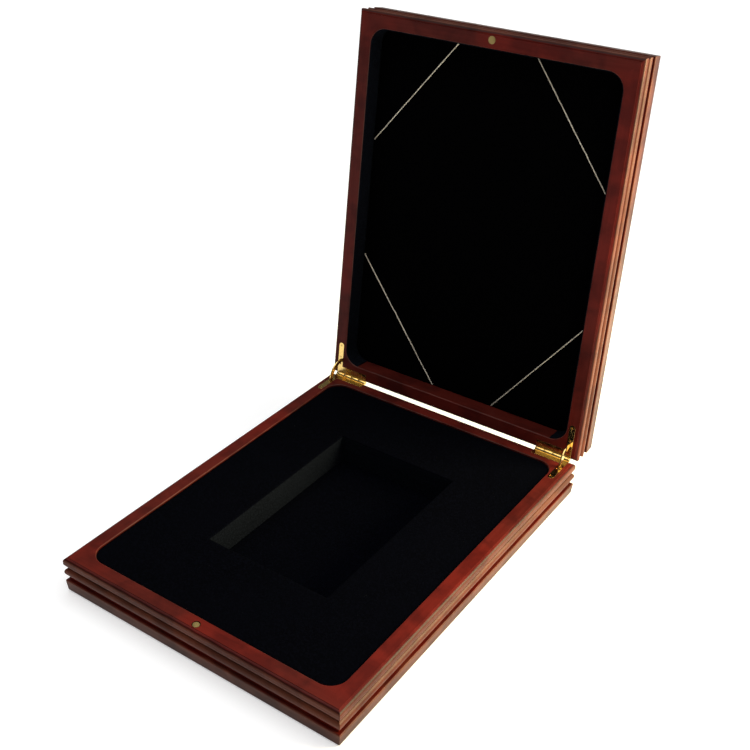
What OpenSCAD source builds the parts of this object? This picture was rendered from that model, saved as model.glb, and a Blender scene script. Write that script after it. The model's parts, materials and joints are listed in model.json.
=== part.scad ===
// Hinged hardwood presentation case, standing open on its two stay hinges.
// Millimetres. The origin is the centre of the underside, +X runs right along the hinge,
// +Y to the back and +Z up. Both frames are drawn rim up; the lid is then turned over and opened.

/* [Case] */
// Width of the case, along the hinge
case_w = 251.5; // [220:0.5:300]
// Depth of the case, front to back
case_d = 333.2; // [260:0.2:420]
// Height of the base frame
base_h = 31; // [30:0.5:40]
// Height of the lid frame
lid_h = 33.5; // [30:0.5:40]
// Thickness of both frames at the rim
wall = 13; // [11:0.5:14]
// Radius of the routed inner corners
corner_r = 14; // [8:0.5:20]
// Chamfer on the rim's inner edge
ease = 0.5; // [0.3:0.1:0.6]
// Gap between the two rims when the case is shut
rim_gap = 0.6; // [0.5:0.1:1]
// Angle that the lid turns from shut to open
open_angle = 96.3; // [91:0.1:100]

/* [Panels] */
// Thickness of the bottom panel
bottom_t = 4; // [3:0.5:5]
// Thickness of the lid's outer panel
top_t = 6.5; // [4:0.5:7]
// How far the panels reach into the frames
rebate = 6; // [4:0.5:6]

/* [Base insert] */
// Width of the pocket
pocket_w = 110; // [60:1:180]
// Length of the pocket, front to back
pocket_d = 171; // [80:1:260]
// How far the velvet lies below the rim
insert_drop = 1; // [0.5:0.1:3]
// Thickness of the velvet cover with its backing
velvet_t = 1; // [0.6:0.1:1.5]
// Thickness of the covered card on the pocket's floor
floor_t = 1.6; // [1:0.1:3]

/* [Lid lining] */
// Depth of the lid's recess, from the rim to the velvet
recess = 16.6; // [12:0.1:17]
// Thickness of the velvet on its panel and on the side walls
lining_t = 0.8; // [0.6:0.1:1.2]
// Thickness of the padding behind the velvet
pad_t = 3; // [1:0.5:3]
// Thickness of the backing board
board_t = 2; // [1.5:0.5:2]

/* [Corner cords] */
// Diameter of a cord
cord_d = 1; // [0.8:0.1:1.2]

/* [Catch] */
// Radius of the catch magnet in the base
magnet_r = 2.6; // [2:0.1:3]
// Radius of the steel disc in the lid
strike_r = 3.1; // [2.5:0.1:3.1]

/* [Hinges] */
// Length of a hinge along the rear rim
hinge_l = 32; // [28:1:36]
// Distance from the case's middle to the outer edge of a hinge
hinge_x = 120; // [119:0.5:121]
// Width of the leg along the rear rim
rear_leg = 7.8; // [6:0.1:8]
// Width of the leg along the side rim
side_leg = 5.1; // [4.5:0.1:6]
// Length of the leg along the side rim, from the rear face
side_reach = 31.6; // [26:0.1:36]
// Thickness of a leaf
leaf_t = 1; // [0.8:0.1:1]
// Radius of the pin
pin_r = 0.8; // [0.6:0.1:1]
// Outer radius of the stay arm, about the pin
stay_r = 15; // [14:0.1:15.2]

/* [Hidden] */
$fn = 64;

// Colours
rail_colour = "#6d2a22";
panel_colour = "#5c2720";
velvet_colour = "#08090b";
foam_colour = "#24262b";
board_colour = "#8a6a48";
brass_colour = "#c9962f";
nickel_colour = "#9a8456";
cord_colour = "#a99f86";

// Moulding, as inset from the outer face and drop below the rim
quirk_in = 2.7;         // inner side of the thin step beside the rim
quirk_drop = 1.2;       // the step's shoulder, inside the first bead
beads = [[0, 3.45, 3], [0, 5, 4], [0.1, 13.3, 3.9]]; // inset, drop and radius; the first two make one bead
groove_in = 2.2;        // floor of the groove between the beads
cove_in = 2.9;          // floor of the deep groove over the wide band
band_drop = 20.2;       // top of the wide lower band
band_round = 1;         // rounding of its upper edge
band_in = 0.3;          // wide lower band, at its top
band_foot = 1.1;        // wide lower band, at its foot
edge_r = 2;             // rounding of the lower edge
mitre_reach = 30;       // how far a rail's mitred end reaches inwards

// Insides of the frames
inner_w = case_w - 2 * wall;
inner_d = case_d - 2 * wall;
slip = 0.2;             // clearance round the insert and the lid's panels
glue_gap = 0.05;        // between the side lining and the walls
insert_top = base_h - insert_drop;
panel_w = case_w - 2 * rebate;
panel_d = case_d - 2 * rebate;

// Hinge axis, and the hinge's parts in a frame drawn rim up
pin_out = 0.1;          // the pin stands this far behind the rear face
pin_up = rim_gap / 2;   // and this far above the rim
pin_y = case_d / 2 + pin_out;
pin_z = base_h + pin_up;
run = 0.02;             // radial clearance between pin and knuckle
knuckle_r = 1.6;
knuckle_n = 4;          // knuckles of one hinge, by turns on the base and the lid
knuckle_l = hinge_l / knuckle_n;
knuckle_gap = 0.1;
barrel_clear = 0.25;    // between a barrel and what it turns past
proud = 0.2;            // a leaf stands this far above its rim
seat_clear = 0.1;       // round a leaf in its seat
leg_x = hinge_x - side_leg / 2;
screw_r = 0.7;
screw_l = 7;
head_r = 1.2;
head_t = 0.5;
head_fit = 0.05;
cross_w = 0.35;
cross_t = 0.3;
rear_screw_in = 5.2;    // from the rear face to the screws of the rear leg
screw_places = [
    [hinge_x - hinge_l + 4.5, rear_screw_in], [hinge_x - 9.2, rear_screw_in],
    [leg_x, stay_r + 2.3], [leg_x, side_reach - side_leg / 2]
];

// Stay arm: a crescent about the pin that slides through both leaves
stay_t = 1;
stay_mid = open_angle / 2;
stay_end = 12.5;        // each end runs this many degrees past its leaf
hollow_r = 18.6;        // inner edge of the crescent
hollow_off = 8.1;
stop_r = 0.8;
stop_l = 3.2;
stop_at = stay_r - 0.9; // radius at which the stop studs stand
stop_turn = 8.2;        // degrees from a leaf to its stud when the lid is open
slot_w = 1.5;
slot_in = 10.1;
slot_out = stay_r + 0.3;
mortise_w = 3.6;
mortise_in = slot_in - 0.3;
mortise_turn = 64;
far = 40;

// Catch
catch_in = 6.25;        // from the front face to the middle of the catch
catch_hole_r = 3.2;
catch_t = 4;
magnet_sunk = 0.3;

// Corner cords, as x and distance from the rear face at both ends
cord_lift = 0.1;        // above the velvet
elbow_r = cord_d / 2 + 0.06; // where a cord turns down into its hole
cord_side = 1.7;        // from the wall to a hole beside it
knot_r = 1;
side_hole = inner_w / 2 - cord_side;
front_hole = case_d - wall - cord_side;
rear_hole = wall + 1;
cord_ends = [
    [[-side_hole, 223], [-36.5, front_hole]],
    [[side_hole, 218], [32.5, front_hole]],
    [[-side_hole, 117], [-27, rear_hole]],
    [[side_hole, 115], [33.5, rear_hole]]
];
cord_z = lid_h - recess + cord_d / 2 + cord_lift;
cord_hole_r = cord_d / 2 + 0.1;
velvet_z = lid_h - recess - lining_t;
pad_z = velvet_z - pad_t;
board_z = pad_z - board_t;

function from_rear(p) = [p[0], case_d / 2 - p[1]];

// ---------- shared shapes ----------

module moulding(h, rebate_h) {
    band_top = h - band_drop;
    groove_foot = h - beads[2][1];
    difference() {
        union() {
            polygon([
                [wall, 0], [band_foot + edge_r, 0], [band_foot + edge_r, edge_r],
                [band_foot, edge_r], [band_in, band_top - band_round],
                [band_in + band_round, band_top], [cove_in, band_top],
                [cove_in, groove_foot], [groove_in, groove_foot], [groove_in, h - quirk_drop],
                [quirk_in, h - quirk_drop], [quirk_in, h], [wall - ease, h], [wall, h - ease]
            ]);
            translate([band_foot + edge_r, edge_r]) circle(r = edge_r);
            translate([band_in + band_round, band_top - band_round]) circle(r = band_round);
            for (b = beads) translate([b[0] + b[2], h - b[1]]) circle(r = b[2]);
        }
        translate([rebate, -1]) square([wall, rebate_h + 1]);
    }
}

// Fills one inner corner of the frame up to its fillet, from the walls' meeting point
module corner_fill(h, rebate_h) {
    difference() {
        translate([-ease, -ease, rebate_h]) cube([corner_r + ease, corner_r + ease, h - rebate_h]);
        translate([corner_r, corner_r, 0]) cylinder(r = corner_r, h = h + 1);
        translate([corner_r, corner_r, h - ease])
            cylinder(r1 = corner_r, r2 = corner_r + 2 * ease, h = 2 * ease);
    }
}

// One rail with its outer face at y = -reach, mitred at both ends
module rail(length, reach, h, rebate_h) {
    half = length / 2;
    intersection() {
        union() {
            translate([-half, -reach, 0]) rotate([90, 0, 90]) linear_extrude(length)
                moulding(h, rebate_h);
            for (s = [0, 1]) mirror([s, 0, 0])
                translate([wall - half, wall - reach, 0]) corner_fill(h, rebate_h);
        }
        linear_extrude(h) polygon([
            [-half, -reach], [half, -reach],
            [half - mitre_reach, mitre_reach - reach], [mitre_reach - half, mitre_reach - reach]
        ]);
    }
}

module front_rail(h, rebate_h) {
    rail(case_w, case_d / 2, h, rebate_h);
}

module side_rail(h, rebate_h, side) {
    difference() {
        rotate([0, 0, 90 * side]) rail(case_d, case_w / 2, h, rebate_h);
        both_sides() hinge_cuts(h);
    }
}

module rear_rail(h, rebate_h) {
    difference() {
        rotate([0, 0, 180]) rail(case_w, case_d / 2, h, rebate_h);
        both_sides() hinge_cuts(h);
    }
}

module rounded_sheet(w, d, r, z0, z1) {
    translate([0, 0, z0]) linear_extrude(z1 - z0) {
        square([w, d - 2 * r], center = true);
        square([w - 2 * r, d], center = true);
        for (x = [r - w / 2, w / 2 - r], y = [r - d / 2, d / 2 - r])
            translate([x, y]) circle(r = r);
    }
}

module block(w, d, z0, z1) {
    translate([-w / 2, -d / 2, z0]) cube([w, d, z1 - z0]);
}

module both_sides() {
    children();
    mirror([1, 0, 0]) children();
}

// Turns a piece that is drawn rim up in the lid's own frame over, and opens it
module on_lid() {
    translate([0, pin_y, pin_z]) rotate([-open_angle, 0, 0]) translate([0, -pin_y, -pin_z])
        translate([0, 0, base_h + rim_gap + lid_h]) mirror([0, 0, 1]) children();
}

// Extrudes an outline whose x points forward from the pin and whose y points up
module about_pin(x, t, z) {
    translate([x - t / 2, pin_y, z]) rotate([90, 0, 90]) linear_extrude(t)
        mirror([1, 0]) children();
}

module sector(from, to) {
    steps = 4;
    polygon(concat([[0, 0]], [
        for (i = [0:steps]) let (a = from + (to - from) * i / steps) [far * cos(a), far * sin(a)]
    ]));
}

// ---------- hinges, drawn for the right-hand side ----------

module leaf_outline(grow) {
    rear_y = pin_y - knuckle_r - barrel_clear + grow;
    front_y = case_d / 2 - rear_leg - grow;
    translate([hinge_x - hinge_l - grow, front_y]) square([hinge_l + 2 * grow, rear_y - front_y]);
    tip_y = case_d / 2 - side_reach + side_leg / 2;
    translate([hinge_x - side_leg - grow, tip_y]) square([side_leg + 2 * grow, rear_y - tip_y]);
    translate([leg_x, tip_y]) circle(r = side_leg / 2 + grow);
}

// Seat, barrel relief, stay mortise and pilot holes in a frame of height h
module hinge_cuts(h) {
    translate([0, 0, h + proud - leaf_t]) linear_extrude(leaf_t + 1) leaf_outline(seat_clear);
    translate([hinge_x - hinge_l - seat_clear, pin_y, h + pin_up]) rotate([0, 90, 0])
        cylinder(r = knuckle_r + barrel_clear, h = hinge_l + 2 * seat_clear);
    about_pin(leg_x, mortise_w, h + pin_up) difference() {
        intersection() {
            circle(r = slot_out + 0.1);
            sector(-mortise_turn, 2);
        }
        circle(r = mortise_in);
    }
    for (p = screw_places)
        translate([p[0], case_d / 2 - p[1], h - screw_l - 1]) cylinder(r = screw_r, h = screw_l + 2);
}

// First is 0 for the base's knuckles and 1 for the lid's
module leaf(h, first) {
    web = knuckle_r + barrel_clear;
    difference() {
        union() {
            translate([0, 0, h + proud - leaf_t]) linear_extrude(leaf_t) leaf_outline(0);
            for (i = [first:2:knuckle_n - 1])
                translate([hinge_x - hinge_l + i * knuckle_l + knuckle_gap / 2, pin_y, h]) {
                    translate([0, 0, pin_up]) rotate([0, 90, 0])
                        cylinder(r = knuckle_r, h = knuckle_l - knuckle_gap);
                    translate([0, -web - 0.5, proud - leaf_t])
                        cube([knuckle_l - knuckle_gap, web, leaf_t]);
                }
        }
        translate([0, pin_y, h + pin_up]) rotate([0, 90, 0])
            cylinder(r = pin_r + run, h = hinge_x + 1);
        for (p = screw_places) translate([p[0], case_d / 2 - p[1], h + proud]) {
            translate([0, 0, -head_t - head_fit]) cylinder(r = head_r + head_fit, h = 2);
            translate([0, 0, -leaf_t - 1]) cylinder(r = screw_r + head_fit, h = leaf_t + 2);
        }
        translate([leg_x - slot_w / 2, pin_y - slot_out, h - leaf_t])
            cube([slot_w, slot_out - slot_in, 2 * leaf_t]);
    }
}

module hinge_pin() {
    translate([hinge_x - hinge_l, pin_y, pin_z]) rotate([0, 90, 0])
        cylinder(r = pin_r, h = hinge_l);
}

module screws(h) {
    for (p = screw_places) translate([p[0], case_d / 2 - p[1], h + proud - head_fit])
        difference() {
            union() {
                translate([0, 0, -head_t]) cylinder(r = head_r, h = head_t);
                translate([0, 0, -screw_l]) cylinder(r = screw_r, h = screw_l);
            }
            for (a = [0, 90]) rotate([0, 0, a])
                translate([-head_r * 0.65, -cross_w / 2, -cross_t]) cube([head_r * 1.3, cross_w, 1]);
        }
}

module stay_arm() {
    about_pin(leg_x, stay_t, pin_z) difference() {
        intersection() {
            circle(r = stay_r);
            sector(-stay_end, open_angle + stay_end);
        }
        translate([-hollow_off * cos(stay_mid), -hollow_off * sin(stay_mid)]) circle(r = hollow_r);
    }
    for (a = [-stop_turn, open_angle + stop_turn])
        translate([leg_x - stop_l / 2, pin_y - stop_at * cos(a), pin_z + stop_at * sin(a)])
            rotate([0, 90, 0]) cylinder(r = stop_r, h = stop_l);
}

// ---------- base ----------

module base_front_rail() {
    color(rail_colour) difference() {
        front_rail(base_h, bottom_t);
        translate([0, catch_in - case_d / 2, base_h - catch_t]) cylinder(r = catch_hole_r, h = catch_t + 1);
    }
}

module base_right_rail() {
    color(rail_colour) side_rail(base_h, bottom_t, 1);
}

module base_rear_rail() {
    color(rail_colour) rear_rail(base_h, bottom_t);
}

module base_left_rail() {
    color(rail_colour) side_rail(base_h, bottom_t, -1);
}

module bottom_panel() {
    color(panel_colour) block(panel_w, panel_d, 0, bottom_t);
}

module insert_core() {
    color(foam_colour) difference() {
        rounded_sheet(inner_w - 2 * slip, inner_d - 2 * slip, corner_r - slip,
            bottom_t, insert_top - velvet_t);
        block(pocket_w + 2 * velvet_t, pocket_d + 2 * velvet_t, 0, base_h);
    }
}

module insert_velvet() {
    color(velvet_colour) difference() {
        union() {
            rounded_sheet(inner_w - 2 * slip, inner_d - 2 * slip, corner_r - slip,
                insert_top - velvet_t, insert_top);
            block(pocket_w + 2 * velvet_t, pocket_d + 2 * velvet_t, bottom_t, insert_top);
        }
        block(pocket_w, pocket_d, 0, base_h);
    }
}

module pocket_floor() {
    color(velvet_colour) block(pocket_w - slip, pocket_d - slip, bottom_t, bottom_t + floor_t);
}

module catch_magnet() {
    color(nickel_colour) translate([0, catch_in - case_d / 2, base_h - catch_t])
        cylinder(r = magnet_r, h = catch_t - magnet_sunk);
}

// ---------- lid ----------

module lid_front_rail() {
    color(rail_colour) on_lid() difference() {
        front_rail(lid_h, top_t);
        translate([0, catch_in - case_d / 2, lid_h - catch_t]) cylinder(r = catch_hole_r, h = catch_t + 1);
    }
}

module lid_right_rail() {
    color(rail_colour) on_lid() side_rail(lid_h, top_t, 1);
}

module lid_rear_rail() {
    color(rail_colour) on_lid() rear_rail(lid_h, top_t);
}

module lid_left_rail() {
    color(rail_colour) on_lid() side_rail(lid_h, top_t, -1);
}

module lid_panel() {
    color(panel_colour) on_lid() block(panel_w, panel_d, 0, top_t);
}

// A sheet that fills the lid's recess, with the holes that the cords pass through
module lid_sheet(z0, z1) {
    difference() {
        rounded_sheet(inner_w - 2 * slip, inner_d - 2 * slip, corner_r - slip, z0, z1);
        for (ends = cord_ends, p = ends)
            translate(concat(from_rear(p), [z0 - 1])) cylinder(r = cord_hole_r, h = z1 - z0 + 2);
    }
}

module backing_board() {
    color(board_colour) on_lid() lid_sheet(board_z, pad_z);
}

module lid_padding() {
    color(foam_colour) on_lid() lid_sheet(pad_z, velvet_z);
}

module lid_velvet() {
    color(velvet_colour) on_lid() lid_sheet(velvet_z, lid_h - recess);
}

// One strip along the left, front and right walls, turned round all four corners
module lid_side_lining() {
    low = lid_h - recess;
    high = lid_h - ease;
    color(velvet_colour) on_lid() difference() {
        rounded_sheet(inner_w - 2 * glue_gap, inner_d - 2 * glue_gap, corner_r - glue_gap, low, high);
        rounded_sheet(inner_w - 2 * lining_t, inner_d - 2 * lining_t, corner_r - lining_t,
            low - 1, high + 1);
        translate([corner_r - inner_w / 2, 0, low - 1])
            cube([inner_w - 2 * corner_r, case_d, high - low + 2]);
    }
}

module strike_disc() {
    color(nickel_colour) on_lid() translate([0, catch_in - case_d / 2, lid_h - catch_t])
        cylinder(r = strike_r, h = catch_t);
}

// A cord lies across one corner, and each end drops through the panel to a knot behind it
module cord(ends) {
    a = from_rear(ends[0]);
    b = from_rear(ends[1]);
    run_l = norm(b - a);
    color(cord_colour) on_lid() {
        translate([a[0], a[1], cord_z]) rotate([0, 0, atan2(b[1] - a[1], b[0] - a[0])])
            rotate([0, 90, 0]) cylinder(d = cord_d, h = run_l);
        for (p = [a, b]) translate([p[0], p[1], 0]) {
            translate([0, 0, cord_z]) sphere(r = elbow_r);
            translate([0, 0, board_z - knot_r]) cylinder(d = cord_d, h = cord_z - board_z + knot_r);
            translate([0, 0, board_z - knot_r]) sphere(r = knot_r);
        }
    }
}

base_front_rail();
base_right_rail();
base_rear_rail();
base_left_rail();
bottom_panel();
insert_core();
insert_velvet();
pocket_floor();
catch_magnet();
lid_front_rail();
lid_right_rail();
lid_rear_rail();
lid_left_rail();
lid_panel();
backing_board();
lid_padding();
lid_velvet();
lid_side_lining();
strike_disc();
cord(cord_ends[0]);  // cord_front_left
cord(cord_ends[1]);  // cord_front_right
cord(cord_ends[2]);  // cord_rear_left
cord(cord_ends[3]);  // cord_rear_right
color(brass_colour) mirror([1, 0, 0]) leaf(base_h, 0);  // left_base_leaf
color(brass_colour) leaf(base_h, 0);  // right_base_leaf
color(brass_colour) on_lid() mirror([1, 0, 0]) leaf(lid_h, 1);  // left_lid_leaf
color(brass_colour) on_lid() leaf(lid_h, 1);  // right_lid_leaf
color(brass_colour) mirror([1, 0, 0]) hinge_pin();  // left_hinge_pin
color(brass_colour) hinge_pin();  // right_hinge_pin
color(brass_colour) mirror([1, 0, 0]) stay_arm();  // left_stay_arm
color(brass_colour) stay_arm();  // right_stay_arm
color(brass_colour) both_sides() screws(base_h);  // base_hinge_screws
color(brass_colour) on_lid() both_sides() screws(lid_h);  // lid_hinge_screws
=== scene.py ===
# Looks of the hinged presentation case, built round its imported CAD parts. Metres.
import json
import math

import bpy
import numpy as np
from mathutils import Matrix, Vector, noise


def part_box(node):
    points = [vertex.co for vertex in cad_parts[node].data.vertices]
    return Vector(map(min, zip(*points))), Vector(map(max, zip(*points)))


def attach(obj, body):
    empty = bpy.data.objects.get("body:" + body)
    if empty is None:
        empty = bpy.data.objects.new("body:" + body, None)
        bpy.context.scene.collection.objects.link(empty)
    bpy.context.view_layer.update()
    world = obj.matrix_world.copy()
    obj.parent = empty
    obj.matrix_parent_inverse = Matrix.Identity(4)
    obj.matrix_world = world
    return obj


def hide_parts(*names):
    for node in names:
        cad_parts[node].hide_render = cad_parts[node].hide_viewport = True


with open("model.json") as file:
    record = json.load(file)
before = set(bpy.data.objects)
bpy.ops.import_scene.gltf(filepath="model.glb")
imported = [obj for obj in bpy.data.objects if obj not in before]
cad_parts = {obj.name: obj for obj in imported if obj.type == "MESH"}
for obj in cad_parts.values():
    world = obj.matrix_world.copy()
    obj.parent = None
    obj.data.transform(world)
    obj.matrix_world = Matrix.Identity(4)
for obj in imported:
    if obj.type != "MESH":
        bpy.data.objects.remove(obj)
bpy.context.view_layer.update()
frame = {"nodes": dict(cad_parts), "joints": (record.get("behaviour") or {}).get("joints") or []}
MM = 0.001

# ---------- the frame ----------

HINGE = next(j for j in frame["joints"] if j["name"] == "lid_hinge")
PIN = Vector(HINGE["pos_m"])
OPEN = math.radians(HINGE["range_deg"][1])
BASE_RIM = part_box("base_front_rail")[1].z
LID_RIM = 2 * PIN.z - BASE_RIM      # height of the lid's rim when the case is shut
OPENED = Matrix.Translation(PIN) @ Matrix.Rotation(-OPEN, 4, "X") @ Matrix.Translation(-PIN)
SHUT_TOP = max((OPENED.inverted() @ v.co).z for v in frame["nodes"]["lid_panel"].data.vertices)
TURNED = Matrix(((1, 0, 0, 0), (0, 1, 0, 0), (0, 0, -1, SHUT_TOP), (0, 0, 0, 1)))
ON_LID = OPENED @ TURNED            # from the lid drawn rim up to the lid as it stands


def lid_box(node):
    """The box of one of the lid's nodes, drawn rim up."""
    back = ON_LID.inverted()
    co = np.array([back @ v.co for v in frame["nodes"][node].data.vertices])
    return Vector(co.min(0)), Vector(co.max(0))


# ---------- node trees ----------

class Tree:
    """A material or world node tree, with short calls for the nodes used here."""

    def __init__(self, owner):
        owner.use_nodes = True
        self.tree = owner.node_tree
        self.tree.nodes.clear()

    def node(self, kind, **given):
        made = self.tree.nodes.new(kind)
        for key, value in given.items():
            if hasattr(made, key):
                setattr(made, key, value)
            else:
                self.put(made.inputs[key.replace("_", " ")], value)
        return made

    def put(self, socket, value):
        if isinstance(value, bpy.types.NodeSocket):
            self.tree.links.new(value, socket)
        else:
            socket.default_value = value

    def math(self, operation, a, b=0.0, clamp=False):
        made = self.node("ShaderNodeMath", operation=operation, use_clamp=clamp)
        self.put(made.inputs[0], a)
        self.put(made.inputs[1], b)
        return made.outputs[0]

    def stretched(self, vector, scale, turn=(0, 0, 0), shift=(0, 0, 0)):
        made = self.node("ShaderNodeMapping")
        self.put(made.inputs["Vector"], vector)
        made.inputs["Scale"].default_value = scale
        made.inputs["Rotation"].default_value = turn
        made.inputs["Location"].default_value = shift
        return made.outputs[0]

    def noise(self, vector, scale, detail=3.0, roughness=0.5, distortion=0.0):
        made = self.node("ShaderNodeTexNoise")
        self.put(made.inputs["Vector"], vector)
        made.inputs["Scale"].default_value = scale
        made.inputs["Detail"].default_value = detail
        made.inputs["Roughness"].default_value = roughness
        made.inputs["Distortion"].default_value = distortion
        return made.outputs[0]

    def ramp(self, value, stops, smooth=True):
        made = self.node("ShaderNodeValToRGB")
        self.put(made.inputs[0], value)
        band = made.color_ramp
        band.interpolation = "EASE" if smooth else "LINEAR"
        while len(band.elements) < len(stops):
            band.elements.new(0.5)
        for element, (place, colour) in zip(band.elements, stops):
            element.position = place
            element.color = (*colour, 1) if len(colour) == 3 else colour
        return made.outputs[0]

    def level(self, value, low, high, out_low=0.0, out_high=1.0):
        made = self.node("ShaderNodeMapRange", clamp=True)
        self.put(made.inputs["Value"], value)
        made.inputs["From Min"].default_value = low
        made.inputs["From Max"].default_value = high
        made.inputs["To Min"].default_value = out_low
        made.inputs["To Max"].default_value = out_high
        return made.outputs[0]

    def mix(self, share, a, b, how="MIX"):
        made = self.node("ShaderNodeMix", data_type="RGBA", blend_type=how)
        for socket, value in zip([made.inputs[0], made.inputs[6], made.inputs[7]], [share, a, b]):
            if isinstance(value, tuple):
                value = (*value, 1)
            self.put(socket, value)
        return made.outputs[2]

    def bump(self, height, distance, strength=1.0, normal=None):
        made = self.node("ShaderNodeBump")
        self.put(made.inputs["Height"], height)
        made.inputs["Distance"].default_value = distance
        made.inputs["Strength"].default_value = strength
        if normal is not None:
            self.put(made.inputs["Normal"], normal)
        return made.outputs[0]

    def finish(self, shader, kind="ShaderNodeOutputMaterial"):
        out = self.node(kind)
        self.tree.links.new(shader, out.inputs["Surface"])


def principled(tree, **sockets):
    made = tree.node("ShaderNodeBsdfPrincipled")
    for key, value in sockets.items():
        tree.put(made.inputs[key.replace("_", " ")], value)
    return made.outputs[0]


# ---------- wood ----------

# Stain colours down the moulded sides, by how far below the rim they lie, in millimetres, with painted
# shade in the quirk and grooves
STAIN_AND_SHADE = [
    (0.0, (0.082, 0.0112, 0.0080)),
    (0.7, (0.078, 0.0108, 0.0078)),
    # painted shade: the quirk beside the rim is coloured near black
    (1.3, (0.016, 0.0026, 0.0022)),
    (2.3, (0.088, 0.0250, 0.0130)),
    (6.6, (0.092, 0.0262, 0.0138)),
    # partly painted shade: the groove under the first bead is stain darkened below the beads' tone
    (8.2, (0.070, 0.0160, 0.0080)),
    (9.2, (0.058, 0.0110, 0.0052)),
    (10.6, (0.092, 0.0262, 0.0138)),
    (14.6, (0.094, 0.0275, 0.0145)),
    # partly painted shade: the band under the second bead is a redder stain darkened to stand for its
    # shade
    (16.4, (0.078, 0.0095, 0.0052)),
    (17.4, (0.078, 0.0060, 0.0034)),
    (20.1, (0.078, 0.0058, 0.0032)),
    (20.7, (0.096, 0.0325, 0.0170)),
    (28.5, (0.062, 0.0198, 0.0120)),
    (31.0, (0.042, 0.0130, 0.0080)),
]
STAIN_DEPTH = 34.0                   # a little more than the height of either frame
INSIDE_STAIN = (0.070, 0.0100, 0.0070)
WORN_HIGHLIT_EDGE = (0.095, 0.0420, 0.0340)  # the rim's inner edge, where the stain has rubbed thin, with a painted highlight along the eased edge
WORN_HIGHLIT_DROP = 0.55
# painted shade: the magnet's bore is coloured near black down its walls
BORE_SHADE = (0.006, 0.0025, 0.0022)
INSIDE = [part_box("insert_velvet")[1][k] + 0.5 * MM for k in range(2)]  # just past the inner walls
INSIDE_R = 14.3 * MM                 # and the radius of their corners
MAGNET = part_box("catch_magnet")
CATCH = (MAGNET[0] + MAGNET[1]) / 2         # the bore in the lid lies over it when the case is shut
BORE_R = 3.4 * MM
BORE_DROP = 0.35
ALONG_GRAIN = 0.05                          # the grain is this much finer across than along
ALONG_PORE = 0.035
BLOTCH_TINT = (0.50, 0.52, 0.58)
RUDDY_TINT = (1.55, 0.95, 0.85)
FIGURE_TINT = (0.62, 0.55, 0.50)
STREAK_TINT = (0.60, 0.52, 0.48)
PORE_TINT = (0.25, 0.18, 0.18)
VENEER = [(0.3, (0.070, 0.016, 0.010)), (0.7, (0.090, 0.022, 0.012))]


def grained(along, share):
    """Scale that draws a texture out along one axis."""
    return (share, 1, 1) if along == "x" else (1, share, 1)


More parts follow.
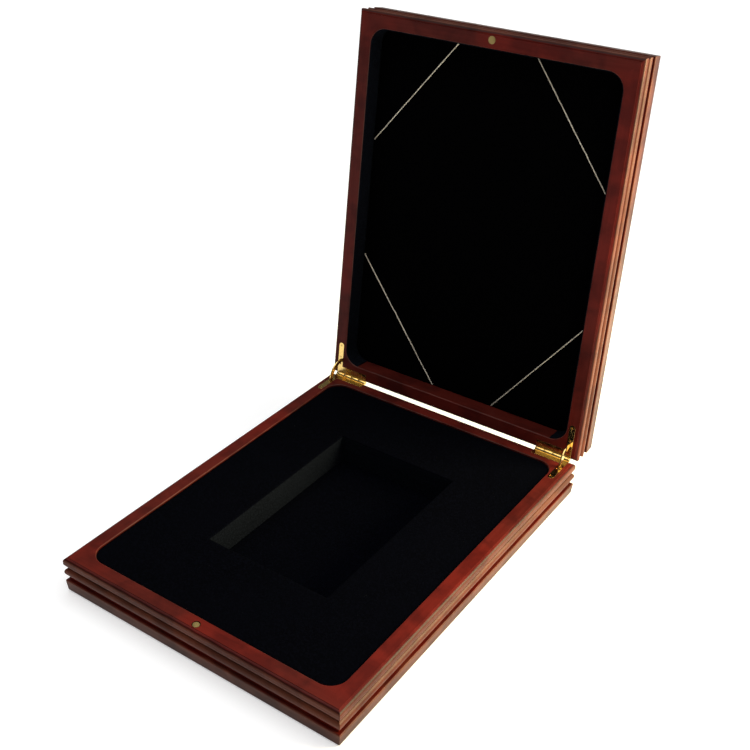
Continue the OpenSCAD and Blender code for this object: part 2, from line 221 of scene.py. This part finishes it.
def wood(name, along, on_lid, banded=True):
    """Red-brown stain under satin lacquer, with its grain along one axis of the piece."""
    mat = bpy.data.materials.new(name)
    t = Tree(mat)
    place = t.node("ShaderNodeTexCoord").outputs["Object"]
    if on_lid:
        shut = OPENED.inverted()
        place = t.stretched(place, (1, 1, 1), (OPEN, 0, 0), tuple(shut.translation))
    split = t.node("ShaderNodeSeparateXYZ")
    t.put(split.inputs[0], place)
    drop = t.math("SUBTRACT", split.outputs[2], LID_RIM) if on_lid else \
        t.math("SUBTRACT", BASE_RIM, split.outputs[2])
    drop = t.math("MULTIPLY", drop, 1 / MM)
    wander = t.noise(place, 60, 2)
    drop = t.math("ADD", drop, t.level(wander, 0.3, 0.7, -0.25, 0.25))

    past = [t.math("MAXIMUM", t.math("SUBTRACT", t.math("ABSOLUTE", split.outputs[k]),
                                     INSIDE[k] - INSIDE_R), 0.0) for k in range(2)]
    away = t.math("SQRT", t.math("ADD", *[t.math("MULTIPLY", q, q) for q in past]))
    inside = t.math("LESS_THAN", away, INSIDE_R)
    fibre = t.stretched(place, grained(along, ALONG_GRAIN))
    streaks = t.noise(fibre, 620, 5, 0.62, 0.4)
    figure = t.noise(fibre, 130, 3, 0.55, 1.2)
    blotch = t.noise(place, 34, 3, 0.6, 0.3)
    cloud = t.noise(place, 11, 2, 0.5)
    pores = t.noise(t.stretched(place, grained(along, ALONG_PORE)), 2600, 2, 0.7)

    if banded:
        # the banded stain, with painted shade in the quirk and grooves
        stain = t.ramp(t.math("DIVIDE", drop, STAIN_DEPTH, clamp=True),
                       [(d / STAIN_DEPTH, c) for d, c in STAIN_AND_SHADE], smooth=False)
        stain = t.mix(inside, stain, INSIDE_STAIN)
        # the rim's inner edge: rubbed stain with a painted highlight
        worn = t.math("MULTIPLY", inside, t.math("LESS_THAN", drop, WORN_HIGHLIT_DROP))
        stain = t.mix(worn, stain, WORN_HIGHLIT_EDGE)
        # painted shade inside the magnet's bore
        off = [t.math("SUBTRACT", split.outputs[k], CATCH[k]) for k in range(2)]
        radius = t.math("SQRT", t.math("ADD", *[t.math("MULTIPLY", q, q) for q in off]))
        bore = t.math("MULTIPLY", t.math("LESS_THAN", radius, BORE_R),
                      t.math("GREATER_THAN", drop, BORE_DROP))
        stain = t.mix(bore, stain, BORE_SHADE)
    else:
        stain = t.ramp(cloud, VENEER)
    colour = t.mix(t.level(blotch, 0.44, 0.60, 0, 0.75), stain, BLOTCH_TINT, "MULTIPLY")
    ruddy = t.math("MULTIPLY", t.level(cloud, 0.45, 0.60), t.level(drop, 1.2, 2.2, 0.8, 0.15))
    colour = t.mix(ruddy, colour, RUDDY_TINT, "MULTIPLY")
    colour = t.mix(t.level(figure, 0.45, 0.7, 0, 0.35), colour, FIGURE_TINT, "MULTIPLY")
    colour = t.mix(t.level(streaks, 0.42, 0.72, 0, 0.35), colour, STREAK_TINT, "MULTIPLY")
    pore = t.level(pores, 0.66, 0.74)
    colour = t.mix(t.math("MULTIPLY", pore, 0.45), colour, PORE_TINT, "MULTIPLY")

    rough = t.level(blotch, 0.3, 0.7, 0.30, 0.40)
    rough = t.math("ADD", rough, t.math("MULTIPLY", pore, 0.12))
    peel = t.noise(place, 420, 2, 0.5)
    normal = t.bump(peel, 0.00005, 0.5)
    normal = t.bump(streaks, 0.00006, 0.5, normal)
    normal = t.bump(t.math("SUBTRACT", 1.0, pore), 0.00004, 0.6, normal)
    t.finish(principled(t, Base_Color=colour, Roughness=rough, Normal=normal, IOR=1.5,
                        Specular_IOR_Level=0.06, Coat_Weight=0.03, Coat_Roughness=0.20, Coat_IOR=1.5))
    return mat


# ---------- velvet, cord, metal and the hidden layers ----------

LINT = (0.06, 0.065, 0.07)


def velvet(name, tint):
    """Near-black velvet: matt pile with patches that lean different ways and a little pale lint."""
    mat = bpy.data.materials.new(name)
    t = Tree(mat)
    place = t.node("ShaderNodeTexCoord").outputs["Object"]
    pile = t.noise(place, 1900, 3, 0.65)
    tuft = t.noise(place, 620, 3, 0.6)
    lean = t.noise(place, 22, 3, 0.55, 0.6)
    dark = tuple(0.45 * c for c in tint)
    light = tuple(1.7 * c for c in tint)
    tuft_tip = tuple(2.6 * c for c in tint)
    colour = t.mix(t.level(pile, 0.35, 0.68), dark, light)
    colour = t.mix(t.level(tuft, 0.46, 0.62, 0, 0.7), colour, tuft_tip)
    colour = t.mix(t.level(lean, 0.35, 0.65, 0, 0.5), colour, light)
    speck = t.noise(t.stretched(place, (1, 0.45, 0.6), (0.3, 0.2, 0.7)), 900, 1, 0.5, 1.0)
    colour = t.mix(t.level(speck, 0.835, 0.86, 0, 0.6), colour, LINT)
    normal = t.bump(tuft, 0.00035, 0.7)
    normal = t.bump(pile, 0.00025, 0.8, normal)
    t.finish(principled(t, Base_Color=colour, Roughness=1.0, Normal=normal,
                        Specular_IOR_Level=0.01, Sheen_Weight=0.0015, Sheen_Roughness=0.4,
                        Sheen_Tint=(0.75, 0.9, 1.0, 1)))
    return mat


def metal(name, colour, worn, rough, scratch):
    """Polished plated metal with fine scratches and a thin, patchy tarnish."""
    mat = bpy.data.materials.new(name)
    t = Tree(mat)
    place = t.node("ShaderNodeTexCoord").outputs["Object"]
    haze = t.noise(place, 260, 4, 0.6)
    film = t.noise(place, 90, 3, 0.6, 0.5)
    lines = t.noise(t.stretched(place, (0.06, 1, 1), (0.2, 0.5, 0.35)), 5200, 2, 0.6)
    base = t.mix(t.level(film, 0.4, 0.68, 0, 0.5), colour, worn)
    base = t.mix(t.level(haze, 0.55, 0.75, 0, 0.3), base, tuple(0.6 * c for c in worn))
    shine = t.level(haze, 0.3, 0.75, rough * 0.7, rough * 1.5)
    shine = t.math("ADD", shine, t.level(lines, 0.6, 0.8, 0, 0.12))
    normal = t.bump(lines, 0.00001, scratch)
    normal = t.bump(haze, 0.00002, scratch * 0.6, normal)
    t.finish(principled(t, Base_Color=base, Metallic=1.0, Roughness=shine, Normal=normal))
    return mat


def thread(name):
    """Silver-gold metallic yarn."""
    mat = bpy.data.materials.new(name)
    t = Tree(mat)
    place = t.node("ShaderNodeTexCoord").outputs["Object"]
    glint = t.noise(place, 2600, 3, 0.7)
    soil = t.noise(place, 120, 3, 0.6)
    base = t.mix(t.level(glint, 0.35, 0.7), (0.42, 0.37, 0.27), (1.0, 0.94, 0.80))
    base = t.mix(t.level(soil, 0.4, 0.7, 0, 0.35), base, (0.22, 0.18, 0.12))
    normal = t.bump(glint, 0.00008, 0.8)
    t.finish(principled(t, Base_Color=base, Metallic=0.25, Roughness=0.40, Normal=normal,
                        Sheen_Weight=0.2))
    return mat


def layer(name, low, high, scale, rough):
    """Foam, card and the like: two tones of grain."""
    mat = bpy.data.materials.new(name)
    t = Tree(mat)
    place = t.node("ShaderNodeTexCoord").outputs["Object"]
    grain = t.noise(place, scale, 4, 0.65)
    base = t.mix(t.level(grain, 0.35, 0.68), low, high)
    t.finish(principled(t, Base_Color=base, Roughness=rough, Normal=t.bump(grain, 0.0002, 0.5)))
    return mat


WOOD = {
    (along, lid): wood(f"stained_wood_{along}_{'lid' if lid else 'base'}", along, lid)
    for along in ("x", "y") for lid in (False, True)
}
PANEL = {lid: wood(f"veneer_{'lid' if lid else 'base'}", "y", lid, False) for lid in (False, True)}
VELVET = velvet("velvet_base", (0.0005, 0.0006, 0.0013))
# painted shade: a darker copy of the velvet for the lid's panel
SHADED_LID_VELVET = velvet("velvet_lid_painted_shade", (0.0003, 0.0003, 0.0004))
# painted light: a lighter copy of the velvet, its sheen painted in, for the walls
LIT_SIDE_VELVET = velvet("velvet_side_painted_sheen", (0.0024, 0.0030, 0.0046))
BRASS = metal("brass_polished", (0.88, 0.62, 0.22), (0.74, 0.50, 0.17), 0.16, 0.12)
NICKEL = metal("magnet_plating", (0.36, 0.27, 0.105), (0.26, 0.185, 0.068), 0.40, 0.8)
THREAD = thread("metallic_cord")
FOAM = layer("foam_black", (0.012, 0.012, 0.013), (0.03, 0.03, 0.032), 900, 0.95)
BOARD = layer("backing_board", (0.22, 0.14, 0.08), (0.36, 0.25, 0.15), 1400, 0.85)


def paint(node, material):
    o = frame["nodes"][node]
    o.data.materials.clear()
    o.data.materials.append(material)
    return o


for end in ("front", "rear"):
    paint(f"base_{end}_rail", WOOD["x", False])
    paint(f"lid_{end}_rail", WOOD["x", True])
for side in ("left", "right"):
    paint(f"base_{side}_rail", WOOD["y", False])
    paint(f"lid_{side}_rail", WOOD["y", True])
paint("bottom_panel", PANEL[False])
paint("lid_panel", PANEL[True])
paint("insert_core", FOAM)
paint("lid_padding", FOAM)
paint("backing_board", BOARD)
paint("catch_magnet", NICKEL)
paint("strike_disc", NICKEL)
HARDWARE = [f"{s}_{p}" for s in ("left", "right")
            for p in ("base_leaf", "lid_leaf", "hinge_pin", "stay_arm")]
HARDWARE += ["base_hinge_screws", "lid_hinge_screws"]
EDGE_BREAK = 0.12 * MM


def soften(o, width):
    """Breaks a CAD node's sharp edges, leaving its own mesh as it is."""
    weld = o.modifiers.new("weld", "WELD")
    weld.merge_threshold = 0.004 * MM
    ease = o.modifiers.new("edge_break", "BEVEL")
    ease.width = width
    ease.segments = 2
    ease.limit_method = "ANGLE"
    ease.angle_limit = math.radians(40)
    ease.harden_normals = False


for node in HARDWARE:
    soften(paint(node, BRASS), EDGE_BREAK)
for node in ("catch_magnet", "strike_disc"):
    soften(frame["nodes"][node], EDGE_BREAK)

# ---------- cloth over the insert and in the lid ----------

def mesh_object(name, points, faces, material, body):
    mesh = bpy.data.meshes.new(name)
    mesh.from_pydata([tuple(p) for p in points], [], faces)
    mesh.update()
    mesh.polygons.foreach_set("use_smooth", [True] * len(mesh.polygons))
    o = bpy.data.objects.new(name, mesh)
    bpy.context.scene.collection.objects.link(o)
    mesh.materials.append(material)
    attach(o, body)
    return o


ARC_STEPS = 10


def outline(w, d, r, nx, ny):
    """Points round a rounded rectangle, with the same count on each straight and corner."""
    points = []
    turns = [(1, -1, -90, nx), (1, 1, 0, ny), (-1, 1, 90, nx), (-1, -1, 180, ny)]
    for k, (sx, sy, start, _) in enumerate(turns):
        centre = np.array([sx * (w / 2 - r), sy * (d / 2 - r)])
        arc = [centre + r * np.array([math.cos(a), math.sin(a)])
               for a in np.radians(np.linspace(start, start + 90, ARC_STEPS + 1))]
        points.extend(arc)
        nsx, nsy, nstart, count = turns[(k + 1) % 4]
        a = math.radians(nstart)
        follow = np.array([nsx * (w / 2 - r), nsy * (d / 2 - r)])
        follow = follow + r * np.array([math.cos(a), math.sin(a)])
        points.extend(arc[-1] + (follow - arc[-1]) * i / count for i in range(1, count))
    return np.array(points)


def loft(loops, close_first=False):
    """Joins loops of points that all have the same count. A closed first end gets one face."""
    n = len(loops[0])
    points = np.vstack(loops)
    faces = [(k * n + i, k * n + (i + 1) % n, (k + 1) * n + (i + 1) % n, (k + 1) * n + i)
             for k in range(len(loops) - 1) for i in range(n)]
    if close_first:
        faces.append(tuple(reversed(range(n))))
    return points, faces


def at(flat, z):
    return np.column_stack([flat, np.full(len(flat), z)])


def ripple(x, y, size, seed):
    return noise.noise(Vector((x / size, y / size, seed)))


def roll(n, r):
    """Offsets (inwards, down) of a rounded edge, from its side to its top."""
    return [(r * (1 - math.cos(a)), r * (1 - math.sin(a))) for a in np.linspace(0, math.pi / 2, n)]


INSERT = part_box("insert_velvet")
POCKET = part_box("pocket_floor")
POCKET_GAP = 0.1 * MM       # between the floor card and the pocket's walls
INSERT_R = 13.8 * MM
NX, NY = 56, 86
CLOTH_T = 0.8 * MM
insert_w, insert_d = INSERT[1].x - INSERT[0].x, INSERT[1].y - INSERT[0].y
pocket_w = POCKET[1].x - POCKET[0].x + 2 * POCKET_GAP
pocket_d = POCKET[1].y - POCKET[0].y + 2 * POCKET_GAP
top_z, floor_z = INSERT[1].z, POCKET[1].z


def insert_cover():
    """Velvet drawn over the foam: flat on top, rolled over at the walls and down into the pocket."""
    inner_r, outer_r = 0.9 * MM, 1.3 * MM
    wall_steps, top_steps, turn_steps = 16, 34, 5
    loops = []
    for k in range(wall_steps):
        z = POCKET[0].z + (top_z - inner_r - POCKET[0].z) * k / wall_steps
        flat = outline(pocket_w, pocket_d, 0.7 * MM, NX, NY)
        loops.append(at(flat, z))
    for inward, down in roll(turn_steps, inner_r):
        flat = outline(pocket_w + 2 * inward, pocket_d + 2 * inward, 0.7 * MM + inward, NX, NY)
        loops.append(at(flat, top_z - down))
    start = outline(pocket_w + 2 * inner_r, pocket_d + 2 * inner_r, 0.7 * MM + inner_r, NX, NY)
    stop = outline(insert_w - 2 * outer_r, insert_d - 2 * outer_r, INSERT_R - outer_r, NX, NY)
    for k in range(1, top_steps):
        loops.append(at(start + (stop - start) * k / top_steps, top_z))
    for inward, down in reversed(roll(turn_steps, outer_r)):
        flat = outline(insert_w - 2 * inward, insert_d - 2 * inward, INSERT_R - inward, NX, NY)
        loops.append(at(flat, top_z - down))
    for k in range(1, 4):
        loops.append(at(outline(insert_w, insert_d, INSERT_R, NX, NY), top_z - outer_r - k * 1.2 * MM))
    points, faces = loft(loops)
    for p in points:
        x, y, z = p
        dx, dy = abs(x) - pocket_w / 2, abs(y) - pocket_d / 2
        lift = 0.10 * ripple(x, y, 0.032, 3.1) + 0.05 * ripple(x, y, 0.009, 7.7)
        share = min(1.0, max(0.0, (z - (top_z - 3 * MM)) / (3 * MM)))
        p[2] += (lift - 0.12) * MM * share
        if z < top_z - 0.5 * MM and max(dx, dy) < 2 * MM:
            depth = (z - floor_z) / (top_z - floor_z)
            bow = 0.22 * math.sin(math.pi * min(1, max(0, depth)))
            bow = bow * (0.6 + ripple(x + y, z * 4, 0.02, 1.7))
            if dx > dy:
                p[0] -= math.copysign(bow * MM, x)
            else:
                p[1] -= math.copysign(bow * MM, y)
    faces = [tuple(reversed(f)) for f in faces]
    cover = mesh_object("insert_velvet_cover", points, faces, VELVET, "base")
    # the pocket's walls take the lighter velvet copy, with painted sheen
    cover.data.materials.append(LIT_SIDE_VELVET)
    for face in cover.data.polygons:
        x, y, z = face.center
        in_pocket = max(abs(x) - pocket_w / 2, abs(y) - pocket_d / 2) < inner_r / 2
        face.material_index = int(in_pocket and z < top_z - inner_r)
    thick = cover.modifiers.new("cloth", "SOLIDIFY")
    thick.thickness = CLOTH_T
    thick.offset = -1
    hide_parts("insert_velvet")
    return cover


def slab(name, lower, upper, r, corner, nx, ny, seed, body, wave, cloth, place=None, holes=()):
    """A cloth-covered card or pad: rolled edges all round, and a top that isn't quite flat."""
    w, d = upper.x - lower.x, upper.y - lower.y
    mid = np.array([(upper.x + lower.x) / 2, (upper.y + lower.y) / 2])
    loops = [at(outline(w - 2 * r, d - 2 * r, max(corner - r, 0.1 * MM), nx, ny) + mid, lower.z)]
    for inward, down in roll(5, r):
        edge = outline(w - 2 * inward, d - 2 * inward, corner - inward * 0.99, nx, ny)
        loops.append(at(edge + mid, upper.z - down))
    full = outline(w - 2 * r, d - 2 * r, max(corner - r, 0.1 * MM), nx, ny)
    rings = 40
    for k in range(1, rings):
        loops.append(at(full * (1 - k / rings) + mid, upper.z))
    points, faces = loft(loops, True)
    points = np.vstack([points, [mid[0], mid[1], upper.z]])
    n, last = len(full), len(points) - 1
    faces += [((len(loops) - 1) * n + i, (len(loops) - 1) * n + (i + 1) % n, last) for i in range(n)]
    for p in points:
        if p[2] > upper.z - 0.9 * r:
            inside = min(w / 2 - abs(p[0] - mid[0]), d / 2 - abs(p[1] - mid[1]))
            share = min(1.0, inside / (6 * MM))
            lift = ripple(p[0], p[1], 0.035, seed) + 0.4 * ripple(p[0], p[1], 0.011, seed + 5) - 0.7
            p[2] += wave * lift * share
            for x, y in holes:
                p[2] -= 0.55 * MM * math.exp(-((p[0] - x) ** 2 + (p[1] - y) ** 2) / (2.4 * MM) ** 2)
    if place is not None:
        points = np.array([place @ Vector(p) for p in points])
        faces = [tuple(reversed(f)) for f in faces]
    return mesh_object(name, points, faces, cloth, body)


insert_cover()
card = slab("pocket_floor_card", *POCKET, 0.6 * MM, 0.8 * MM, 48, 76, 11.0, "base", 0.16 * MM, VELVET)
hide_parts("pocket_floor")

# Corner cords: where both ends pass through the lid's velvet
KNOT_R = 1.0 * MM


def cord_holes(name, side, end):
    """The hole beside a side wall and the one beside the front or rear wall, from the cord's box."""
    low, high = lid_box(f"cord_{name}")
    x = {-1: (low.x + KNOT_R, high.x - KNOT_R), 1: (high.x - KNOT_R, low.x + KNOT_R)}[side]
    y = {-1: (high.y - KNOT_R, low.y + KNOT_R), 1: (low.y + KNOT_R, high.y - KNOT_R)}[end]
    return list(zip(x, y))


CORD_ENDS = {
    f"{where}_{hand}": cord_holes(f"{where}_{hand}", side, end)
    for where, end in (("front", -1), ("rear", 1)) for hand, side in (("left", -1), ("right", 1))
}
HOLES = [hole for ends in CORD_ENDS.values() for hole in ends]
LINING = lid_box("lid_velvet")
# the lid's panel takes the darker velvet copy, with painted shade
pad = slab("lid_velvet_panel", *LINING, 0.35 * MM, INSERT_R, 60, 90, 23.0, "lid", 0.14 * MM,
           SHADED_LID_VELVET, ON_LID, HOLES)
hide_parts("lid_velvet")


def side_lining():
    """The strip of velvet on the left, front and right walls, with softly uneven edges."""
    low, high = lid_box("lid_side_lining")
    t, r = CLOTH_T, INSERT_R + 0.15 * MM
    run = outline(high.x - low.x, high.y - low.y, r, 90, 130)
    ends = np.nonzero((run[:, 1] > high.y - 1e-6) & (abs(run[:, 0]) < high.x - r + 1e-6))[0]
    path = np.roll(run, -(ends.max()), axis=0)[: len(run) - len(ends) + 2]
    ahead = np.gradient(path, axis=0)
    ahead /= np.linalg.norm(ahead, axis=1)[:, None]
    inward = np.column_stack([-ahead[:, 1], ahead[:, 0]])
    section = [(0, 0), (t, 0)]
    section += [(t, f * (high.z - low.z - 0.3 * MM)) for f in np.linspace(0.12, 1, 9)]
    section += [(t * 0.72, high.z - low.z - 0.05 * MM), (t * 0.28, high.z - low.z)]
    section += [(0, high.z - low.z - 0.1 * MM)]
    section += [(0, (high.z - low.z) * 0.5)]
    points = []
    for i, (p, n) in enumerate(zip(path, inward)):
        for k, (out, up) in enumerate(section):
            pile = noise.noise(Vector((p[0] / 0.014, p[1] / 0.014, up / 0.006)))
            soft = 0.16 * MM * pile if out > 0 else 0
            edge = 0.22 * MM * noise.noise(Vector((p[0] / 0.02, p[1] / 0.02, 4.4))) if up > 0.012 else 0
            q = p + n * (out + soft * (out / t))
            points.append(ON_LID @ Vector((q[0], q[1], low.z + up - abs(edge))))
    m = len(section)
    faces = [(i * m + k, (i + 1) * m + k, (i + 1) * m + (k + 1) % m, i * m + (k + 1) % m)
             for i in range(len(path) - 1) for k in range(m)]
    faces += [tuple(range(m)), tuple(reversed(range((len(path) - 1) * m, len(path) * m)))]
    # the lid's side walls take the lighter velvet copy, with painted sheen
    o = mesh_object("lid_side_velvet", points, faces, LIT_SIDE_VELVET, "lid")
    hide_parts("lid_side_lining")


side_lining()

# ---------- corner cords ----------

CORD_D = 1.0 * MM
STRANDS, TWIST, CORD_SIDES = 3, 3.2 * MM, 18


def cord_path(a, b, height, low, kink, seed):
    """From behind the velvet, up through it, over to the other hole and down again."""
    a, b = Vector((*a, 0)), Vector((*b, 0))
    along = (b - a).normalized()
    across = Vector((-along.y, along.x, 0))
    up = Vector((0, 0, 1))
    bend = 0.9 * MM
    points = [a + Vector((0, 0, low + (height - bend - low) * k / 12)) for k in range(12)]
    quarter = np.linspace(0, math.pi / 2, 7)
    points += [a + along * bend * (1 - math.cos(t)) + up * (height - bend * (1 - math.sin(t)))
               for t in quarter]
    span = (b - a).length - 2 * bend
    steps = int(span / (0.25 * MM))
    for k in range(1, steps):
        s = k / steps
        side = 0.22 * MM * noise.noise(Vector((s * 5, seed, 0.5))) * math.sin(math.pi * s)
        for centre, size in kink:
            side += size * MM * math.exp(-((s - centre) * span / (2.2 * MM)) ** 2)
        lift = 0.18 * MM * (0.5 + noise.noise(Vector((s * 4, seed, 9.5)))) * math.sin(math.pi * s)
        points.append(a + along * (bend + span * s) + across * side + Vector((0, 0, height + lift)))
    points += [b - along * bend * (1 - math.sin(t)) + up * (height - bend * (1 - math.cos(t)))
               for t in quarter]
    points += [b + Vector((0, 0, height - bend - (height - bend - low) * k / 12)) for k in range(1, 13)]
    return points


def twisted(path, d):
    """A tube round the path whose section is a few strands that turn about each other."""
    co = np.array([tuple(p) for p in path])
    run = np.concatenate([[0], np.cumsum(np.linalg.norm(np.diff(co, axis=0), axis=1))])
    fine = np.linspace(0, run[-1], int(run[-1] / (0.22 * MM)))
    co = np.column_stack([np.interp(fine, run, co[:, k]) for k in range(3)])
    ahead = np.gradient(co, axis=0)
    ahead /= np.linalg.norm(ahead, axis=1)[:, None]
    side = np.cross(ahead[0], [0.3, 0.8, 0.5])
    side /= np.linalg.norm(side)
    points = []
    for i, (p, f) in enumerate(zip(co, ahead)):
        side = side - f * (side @ f)
        side /= np.linalg.norm(side)
        up = np.cross(f, side)
        turn = 2 * math.pi * fine[i] / TWIST
        for k in range(CORD_SIDES):
            a = 2 * math.pi * k / CORD_SIDES
            lobe = abs(math.cos(STRANDS * (a - turn) / 2))
            r = d / 2 * (0.74 + 0.26 * lobe)
            points.append(p + r * (math.cos(a) * side + math.sin(a) * up))
    n = len(co)
    faces = [(i * CORD_SIDES + k, i * CORD_SIDES + (k + 1) % CORD_SIDES,
              (i + 1) * CORD_SIDES + (k + 1) % CORD_SIDES, (i + 1) * CORD_SIDES + k)
             for i in range(n - 1) for k in range(CORD_SIDES)]
    faces += [tuple(reversed(range(CORD_SIDES))), tuple(range((n - 1) * CORD_SIDES, n * CORD_SIDES))]
    return points, faces, co


def knot_mesh(centre, axis, r):
    """A tight overhand knot, as a short trefoil of the same yarn drawn small."""
    axis = Vector(axis).normalized()
    side = axis.orthogonal().normalized()
    up = axis.cross(side)
    loop = []
    for t in np.linspace(0, 2 * math.pi, 73)[:-1]:
        x = math.sin(t) + 2 * math.sin(2 * t)
        y = math.cos(t) - 2 * math.cos(2 * t)
        z = -math.sin(3 * t)
        loop.append(Vector(centre) + (side * x + up * y) * r * 0.21 + axis * z * r * 0.42)
    points, faces, _ = twisted(loop + loop[:1], CORD_D * 0.72)
    return points, faces


LID_UP = ON_LID.to_3x3() @ Vector((0, 0, 1))
CORD_REST = lid_box("cord_front_left")
cord_height = LINING[1].z + CORD_D / 2 + 0.05 * MM
knot_z = CORD_REST[0].z + KNOT_R
KINKS = {"front_right": [(0.33, 0.35), (0.7, -0.25)], "rear_left": [(0.45, -0.4), (0.8, 0.2)],
         "front_left": [(0.12, 0.15)], "rear_right": []}
for seed, (name, ends) in enumerate(CORD_ENDS.items()):
    path = cord_path(*ends, cord_height, knot_z, KINKS[name], 3.0 + seed)
    path = [ON_LID @ p for p in path]
    points, faces, line = twisted(path, CORD_D)
    o = mesh_object(f"cord_{name}_yarn", points, faces, THREAD, "lid")
    for k, hole in enumerate(ends):
        kp, kf = knot_mesh(ON_LID @ Vector((*hole, knot_z)), LID_UP, KNOT_R)
        mesh_object(f"cord_{name}_knot_{k + 1}", kp, kf, THREAD, "lid")
    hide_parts(f"cord_{name}")

# ---------- floor, light and camera ----------

scene = bpy.context.scene
scene.view_settings.view_transform = "Standard"

FLOOR_HALF = 9.0
mesh = bpy.data.meshes.new("floor")
mesh.from_pydata([(-FLOOR_HALF, -FLOOR_HALF, 0), (FLOOR_HALF, -FLOOR_HALF, 0),
                  (FLOOR_HALF, FLOOR_HALF, 0), (-FLOOR_HALF, FLOOR_HALF, 0)], [], [(0, 1, 2, 3)])
floor = bpy.data.objects.new("floor", mesh)
scene.collection.objects.link(floor)
pale = bpy.data.materials.new("floor_pale")
t = Tree(pale)
t.finish(principled(t, Base_Color=(0.82, 0.82, 0.82, 1), Roughness=0.9, Specular_IOR_Level=0.0,
                    Emission_Color=(1, 1, 1, 1), Emission_Strength=0.35))
mesh.materials.append(pale)

LIGHTS = [  # name, place, aimed at, size, watts, colour
    ("key", (0.66, 0.40, 0.27), (0.125, 0.12, 0.12), (0.45, 0.45), 20, (1.0, 0.87, 0.50)),
]
for name, place, target, size, power, colour in LIGHTS:
    data = bpy.data.lights.new(name, "AREA")
    data.shape = "RECTANGLE"
    data.size, data.size_y = size
    data.energy = power
    data.color = colour
    o = bpy.data.objects.new(name, data)
    scene.collection.objects.link(o)
    o.location = place
    o.rotation_euler = (Vector(target) - Vector(place)).to_track_quat("-Z", "Y").to_euler()

# The room: a wide bright ceiling, a weaker glow from the right and little from elsewhere
OVERHEAD = (0.72, 0.86, 1.95)
RIGHT_GLOW = 0.35
ROOM = 0.10
world = bpy.data.worlds.new("studio")
scene.world = world
t = Tree(world)
way = t.node("ShaderNodeSeparateXYZ")
t.put(way.inputs[0], t.node("ShaderNodeTexCoord").outputs["Generated"])
overhead = t.level(way.outputs[2], *OVERHEAD[:2], 0.0, OVERHEAD[2])
right = t.level(way.outputs[0], 0.2, 0.9, 0.0, RIGHT_GLOW)
back = t.node("ShaderNodeBackground")
back.inputs["Color"].default_value = (1, 1, 1, 1)
t.put(back.inputs["Strength"], t.math("ADD", t.math("ADD", overhead, right), ROOM))
t.finish(back.outputs[0], "ShaderNodeOutputWorld")

CAMERA_PLACE = (0.42649, -0.58537, 0.58390)
CAMERA_TURN = (61.8173, -0.7462, 35.2872)
camera = bpy.data.objects.new("camera", bpy.data.cameras.new("camera"))
scene.collection.objects.link(camera)
camera.location = CAMERA_PLACE
camera.rotation_euler = [math.radians(a) for a in CAMERA_TURN]
camera.data.sensor_width = 36
camera.data.lens = 55.25
camera.data.shift_x, camera.data.shift_y = 0.02345, -0.07095
camera.data.clip_start, camera.data.clip_end = 0.01, 60
scene.camera = camera
